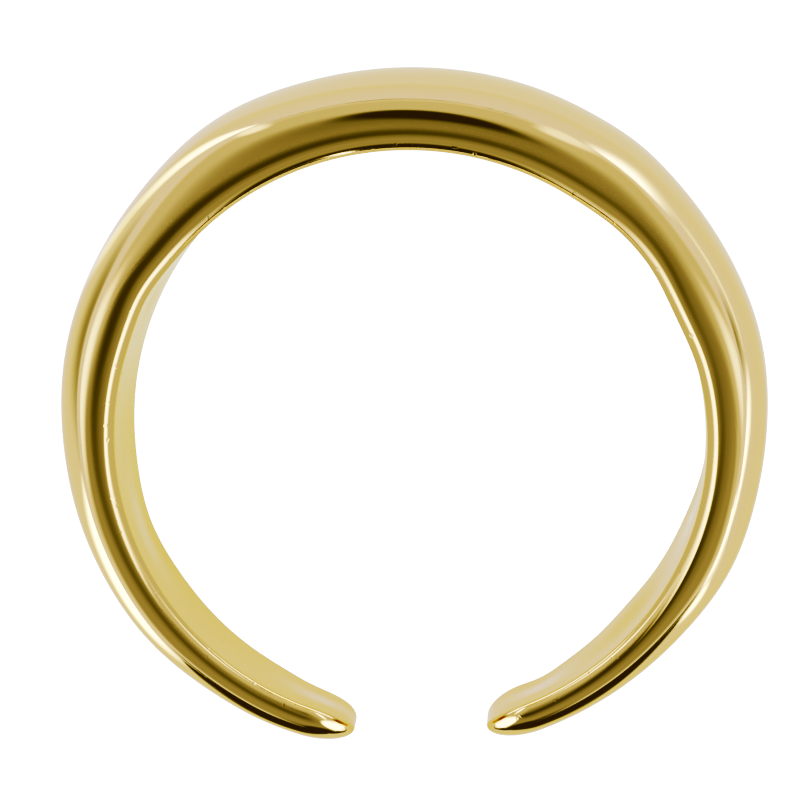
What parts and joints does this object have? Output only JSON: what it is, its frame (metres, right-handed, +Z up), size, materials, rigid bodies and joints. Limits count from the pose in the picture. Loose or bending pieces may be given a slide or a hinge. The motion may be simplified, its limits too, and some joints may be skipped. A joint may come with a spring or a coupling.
{
  "type": "wide open band ring",
  "caption": "Open finger ring of polished yellow metal: a domed band, widest at the crown, that narrows to rounded free ends beside a gap.",
  "frame": {"origin": "middle of the ring's footprint, on the surface that it lies on", "axes": "+Z up from the surface, +Y towards the wide crown, -Y towards the gap, X across the ring"},
  "size_m": [0.021, 0.0202, 0.0092],
  "materials": {
    "polished_gold": "mirror-polished yellow gold"
  },
  "bodies": {
    "root": {"band": "polished_gold"}
  },
  "joints": []
}
